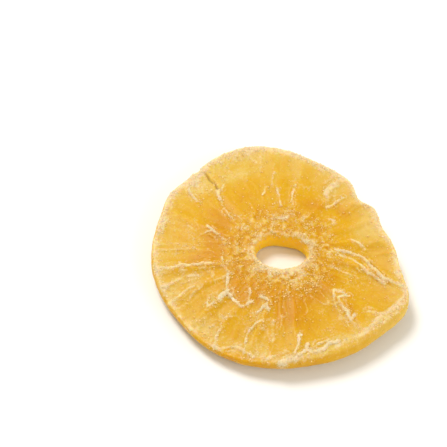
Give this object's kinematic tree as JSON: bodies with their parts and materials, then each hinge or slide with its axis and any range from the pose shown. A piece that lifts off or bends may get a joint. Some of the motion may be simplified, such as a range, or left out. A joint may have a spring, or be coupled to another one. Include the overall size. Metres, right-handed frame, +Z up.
{
  "type": "candied pineapple ring",
  "caption": "Candied pineapple slice with an oval core hole, an uneven rim, and raised sugar-frosted walls running out from the core.",
  "frame": {"origin": "centre of the ring's box, at the level of its flat underside", "axes": "+Z up out of the frosted cut face, with the ring lying flat; -Y towards the thick, slanting stretch of rim"},
  "size_m": [0.0786, 0.0796, 0.0086],
  "materials": {
    "flesh": "translucent golden candied fruit flesh, satin where it is moist and paler where it is frosted with fine sugar",
    "sugar": "dry, cream-white crystallised sugar, in thin crusts and loose grains"
  },
  "bodies": {
    "root": {"ring": "flesh"}
  },
  "joints": []
}
